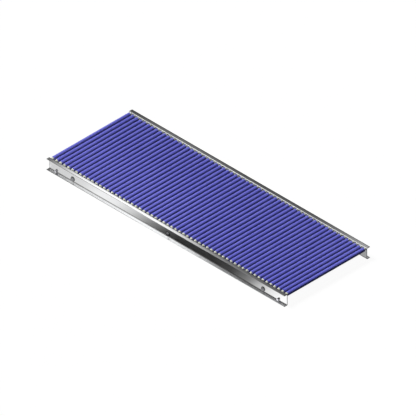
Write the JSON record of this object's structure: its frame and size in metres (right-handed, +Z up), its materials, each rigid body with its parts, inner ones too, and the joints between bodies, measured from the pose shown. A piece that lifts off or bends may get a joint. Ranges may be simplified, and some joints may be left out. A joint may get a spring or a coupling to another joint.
{
  "type": "roller conveyor",
  "caption": "Light gravity roller conveyor section: freely turning plastic rollers between two folded steel side rails, tied together underneath.",
  "frame": {"origin": "middle of the section's length and width, on the plane that the rails' lower flanges rest on", "axes": "+X along the rails, in the direction that goods roll; +Y across, along the roller axles; +Z up, towards the rollers"},
  "size_m": [1.5, 0.54, 0.062],
  "materials": {
    "rail_steel": "bright, satin",
    "roller_plastic": "satin",
    "cap_plastic": "satin",
    "tie_steel": "satin",
    "fastener_steel": "satin",
    "end_rod_steel": "satin"
  },
  "bodies": {
    "frame": {"rail_near": "rail_steel", "rail_far": "rail_steel", "tie_rod_1": "fastener_steel", "tie_tube_1": "tie_steel", "tie_rod_2": "fastener_steel", "tie_tube_2": "tie_steel", "tie_rod_3": "fastener_steel", "tie_tube_3": "tie_steel", "end_rod_1": "end_rod_steel", "end_rod_2": "end_rod_steel", "rollers_joined": "roller_plastic"},
    "roller_12": {"roller_12": "roller_plastic"},
    "roller_13": {"roller_13": "roller_plastic"},
    "roller_14": {"roller_14": "roller_plastic"},
    "roller_15": {"roller_15": "roller_plastic"},
    "roller_16": {"roller_16": "roller_plastic"},
    "roller_17": {"roller_17": "roller_plastic"},
    "roller_18": {"roller_18": "roller_plastic"},
    "roller_19": {"roller_19": "roller_plastic"},
    "roller_20": {"roller_20": "roller_plastic"},
    "roller_21": {"roller_21": "roller_plastic"},
    "roller_22": {"roller_22": "roller_plastic"},
    "roller_23": {"roller_23": "roller_plastic"},
    "roller_24": {"roller_24": "roller_plastic"},
    "roller_25": {"roller_25": "roller_plastic"},
    "roller_26": {"roller_26": "roller_plastic"},
    "roller_27": {"roller_27": "roller_plastic"},
    "roller_28": {"roller_28": "roller_plastic"},
    "roller_29": {"roller_29": "roller_plastic"},
    "roller_30": {"roller_30": "roller_plastic"},
    "roller_31": {"roller_31": "roller_plastic"},
    "roller_32": {"roller_32": "roller_plastic"},
    "roller_33": {"roller_33": "roller_plastic"},
    "roller_34": {"roller_34": "roller_plastic"},
    "roller_35": {"roller_35": "roller_plastic"},
    "roller_36": {"roller_36": "roller_plastic"},
    "roller_37": {"roller_37": "roller_plastic"},
    "roller_38": {"roller_38": "roller_plastic"},
    "roller_39": {"roller_39": "roller_plastic"},
    "roller_40": {"roller_40": "roller_plastic"},
    "roller_41": {"roller_41": "roller_plastic"},
    "roller_42": {"roller_42": "roller_plastic"},
    "roller_43": {"roller_43": "roller_plastic"},
    "roller_44": {"roller_44": "roller_plastic"},
    "roller_45": {"roller_45": "roller_plastic"},
    "roller_46": {"roller_46": "roller_plastic"},
    "roller_47": {"roller_47": "roller_plastic"},
    "roller_48": {"roller_48": "roller_plastic"},
    "roller_49": {"roller_49": "roller_plastic"},
    "roller_50": {"roller_50": "roller_plastic"},
    "roller_51": {"roller_51": "roller_plastic"},
    "roller_52": {"roller_52": "roller_plastic"},
    "roller_53": {"roller_53": "roller_plastic"},
    "roller_54": {"roller_54": "roller_plastic"},
    "roller_55": {"roller_55": "roller_plastic"},
    "roller_56": {"roller_56": "roller_plastic"},
    "roller_57": {"roller_57": "roller_plastic"},
    "roller_58": {"roller_58": "roller_plastic"},
    "roller_59": {"roller_59": "roller_plastic"},
    "roller_60": {"roller_60": "roller_plastic"}
  },
  "joints": [
    {"name": "roller_12_turn", "type": "hinge", "parent": "frame", "child": "roller_12", "pos_m": [-0.4625, 0, 0.052], "axis": [0, 1, 0], "continuous": true},
    {"name": "roller_13_turn", "type": "hinge", "parent": "frame", "child": "roller_13", "pos_m": [-0.4375, 0, 0.052], "axis": [0, 1, 0], "continuous": true},
    {"name": "roller_14_turn", "type": "hinge", "parent": "frame", "child": "roller_14", "pos_m": [-0.4125, 0, 0.052], "axis": [0, 1, 0], "continuous": true},
    {"name": "roller_15_turn", "type": "hinge", "parent": "frame", "child": "roller_15", "pos_m": [-0.3875, 0, 0.052], "axis": [0, 1, 0], "continuous": true},
    {"name": "roller_16_turn", "type": "hinge", "parent": "frame", "child": "roller_16", "pos_m": [-0.3625, 0, 0.052], "axis": [0, 1, 0], "continuous": true},
    {"name": "roller_17_turn", "type": "hinge", "parent": "frame", "child": "roller_17", "pos_m": [-0.3375, 0, 0.052], "axis": [0, 1, 0], "continuous": true},
    {"name": "roller_18_turn", "type": "hinge", "parent": "frame", "child": "roller_18", "pos_m": [-0.3125, 0, 0.052], "axis": [0, 1, 0], "continuous": true},
    {"name": "roller_19_turn", "type": "hinge", "parent": "frame", "child": "roller_19", "pos_m": [-0.2875, 0, 0.052], "axis": [0, 1, 0], "continuous": true},
    {"name": "roller_20_turn", "type": "hinge", "parent": "frame", "child": "roller_20", "pos_m": [-0.2625, 0, 0.052], "axis": [0, 1, 0], "continuous": true},
    {"name": "roller_21_turn", "type": "hinge", "parent": "frame", "child": "roller_21", "pos_m": [-0.2375, 0, 0.052], "axis": [0, 1, 0], "continuous": true},
    {"name": "roller_22_turn", "type": "hinge", "parent": "frame", "child": "roller_22", "pos_m": [-0.2125, 0, 0.052], "axis": [0, 1, 0], "continuous": true},
    {"name": "roller_23_turn", "type": "hinge", "parent": "frame", "child": "roller_23", "pos_m": [-0.1875, 0, 0.052], "axis": [0, 1, 0], "continuous": true},
    {"name": "roller_24_turn", "type": "hinge", "parent": "frame", "child": "roller_24", "pos_m": [-0.1625, 0, 0.052], "axis": [0, 1, 0], "continuous": true},
    {"name": "roller_25_turn", "type": "hinge", "parent": "frame", "child": "roller_25", "pos_m": [-0.1375, 0, 0.052], "axis": [0, 1, 0], "continuous": true},
    {"name": "roller_26_turn", "type": "hinge", "parent": "frame", "child": "roller_26", "pos_m": [-0.1125, 0, 0.052], "axis": [0, 1, 0], "continuous": true},
    {"name": "roller_27_turn", "type": "hinge", "parent": "frame", "child": "roller_27", "pos_m": [-0.0875, 0, 0.052], "axis": [0, 1, 0], "continuous": true},
    {"name": "roller_28_turn", "type": "hinge", "parent": "frame", "child": "roller_28", "pos_m": [-0.0625, 0, 0.052], "axis": [0, 1, 0], "continuous": true},
    {"name": "roller_29_turn", "type": "hinge", "parent": "frame", "child": "roller_29", "pos_m": [-0.0375, 0, 0.052], "axis": [0, 1, 0], "continuous": true},
    {"name": "roller_30_turn", "type": "hinge", "parent": "frame", "child": "roller_30", "pos_m": [-0.0125, 0, 0.052], "axis": [0, 1, 0], "continuous": true},
    {"name": "roller_31_turn", "type": "hinge", "parent": "frame", "child": "roller_31", "pos_m": [0.0125, 0, 0.052], "axis": [0, 1, 0], "continuous": true},
    {"name": "roller_32_turn", "type": "hinge", "parent": "frame", "child": "roller_32", "pos_m": [0.0375, 0, 0.052], "axis": [0, 1, 0], "continuous": true},
    {"name": "roller_33_turn", "type": "hinge", "parent": "frame", "child": "roller_33", "pos_m": [0.0625, 0, 0.052], "axis": [0, 1, 0], "continuous": true},
    {"name": "roller_34_turn", "type": "hinge", "parent": "frame", "child": "roller_34", "pos_m": [0.0875, 0, 0.052], "axis": [0, 1, 0], "continuous": true},
    {"name": "roller_35_turn", "type": "hinge", "parent": "frame", "child": "roller_35", "pos_m": [0.1125, 0, 0.052], "axis": [0, 1, 0], "continuous": true},
    {"name": "roller_36_turn", "type": "hinge", "parent": "frame", "child": "roller_36", "pos_m": [0.1375, 0, 0.052], "axis": [0, 1, 0], "continuous": true},
    {"name": "roller_37_turn", "type": "hinge", "parent": "frame", "child": "roller_37", "pos_m": [0.1625, 0, 0.052], "axis": [0, 1, 0], "continuous": true},
    {"name": "roller_38_turn", "type": "hinge", "parent": "frame", "child": "roller_38", "pos_m": [0.1875, 0, 0.052], "axis": [0, 1, 0], "continuous": true},
    {"name": "roller_39_turn", "type": "hinge", "parent": "frame", "child": "roller_39", "pos_m": [0.2125, 0, 0.052], "axis": [0, 1, 0], "continuous": true},
    {"name": "roller_40_turn", "type": "hinge", "parent": "frame", "child": "roller_40", "pos_m": [0.2375, 0, 0.052], "axis": [0, 1, 0], "continuous": true},
    {"name": "roller_41_turn", "type": "hinge", "parent": "frame", "child": "roller_41", "pos_m": [0.2625, 0, 0.052], "axis": [0, 1, 0], "continuous": true},
    {"name": "roller_42_turn", "type": "hinge", "parent": "frame", "child": "roller_42", "pos_m": [0.2875, 0, 0.052], "axis": [0, 1, 0], "continuous": true},
    {"name": "roller_43_turn", "type": "hinge", "parent": "frame", "child": "roller_43", "pos_m": [0.3125, 0, 0.052], "axis": [0, 1, 0], "continuous": true},
    {"name": "roller_44_turn", "type": "hinge", "parent": "frame", "child": "roller_44", "pos_m": [0.3375, 0, 0.052], "axis": [0, 1, 0], "continuous": true},
    {"name": "roller_45_turn", "type": "hinge", "parent": "frame", "child": "roller_45", "pos_m": [0.3625, 0, 0.052], "axis": [0, 1, 0], "continuous": true},
    {"name": "roller_46_turn", "type": "hinge", "parent": "frame", "child": "roller_46", "pos_m": [0.3875, 0, 0.052], "axis": [0, 1, 0], "continuous": true},
    {"name": "roller_47_turn", "type": "hinge", "parent": "frame", "child": "roller_47", "pos_m": [0.4125, 0, 0.052], "axis": [0, 1, 0], "continuous": true},
    {"name": "roller_48_turn", "type": "hinge", "parent": "frame", "child": "roller_48", "pos_m": [0.4375, 0, 0.052], "axis": [0, 1, 0], "continuous": true},
    {"name": "roller_49_turn", "type": "hinge", "parent": "frame", "child": "roller_49", "pos_m": [0.4625, 0, 0.052], "axis": [0, 1, 0], "continuous": true},
    {"name": "roller_50_turn", "type": "hinge", "parent": "frame", "child": "roller_50", "pos_m": [0.4875, 0, 0.052], "axis": [0, 1, 0], "continuous": true},
    {"name": "roller_51_turn", "type": "hinge", "parent": "frame", "child": "roller_51", "pos_m": [0.5125, 0, 0.052], "axis": [0, 1, 0], "continuous": true},
    {"name": "roller_52_turn", "type": "hinge", "parent": "frame", "child": "roller_52", "pos_m": [0.5375, 0, 0.052], "axis": [0, 1, 0], "continuous": true},
    {"name": "roller_53_turn", "type": "hinge", "parent": "frame", "child": "roller_53", "pos_m": [0.5625, 0, 0.052], "axis": [0, 1, 0], "continuous": true},
    {"name": "roller_54_turn", "type": "hinge", "parent": "frame", "child": "roller_54", "pos_m": [0.5875, 0, 0.052], "axis": [0, 1, 0], "continuous": true},
    {"name": "roller_55_turn", "type": "hinge", "parent": "frame", "child": "roller_55", "pos_m": [0.6125, 0, 0.052], "axis": [0, 1, 0], "continuous": true},
    {"name": "roller_56_turn", "type": "hinge", "parent": "frame", "child": "roller_56", "pos_m": [0.6375, 0, 0.052], "axis": [0, 1, 0], "continuous": true},
    {"name": "roller_57_turn", "type": "hinge", "parent": "frame", "child": "roller_57", "pos_m": [0.6625, 0, 0.052], "axis": [0, 1, 0], "continuous": true},
    {"name": "roller_58_turn", "type": "hinge", "parent": "frame", "child": "roller_58", "pos_m": [0.6875, 0, 0.052], "axis": [0, 1, 0], "continuous": true},
    {"name": "roller_59_turn", "type": "hinge", "parent": "frame", "child": "roller_59", "pos_m": [0.7125, 0, 0.052], "axis": [0, 1, 0], "continuous": true},
    {"name": "roller_60_turn", "type": "hinge", "parent": "frame", "child": "roller_60", "pos_m": [0.7375, 0, 0.052], "axis": [0, 1, 0], "continuous": true}
  ]
}
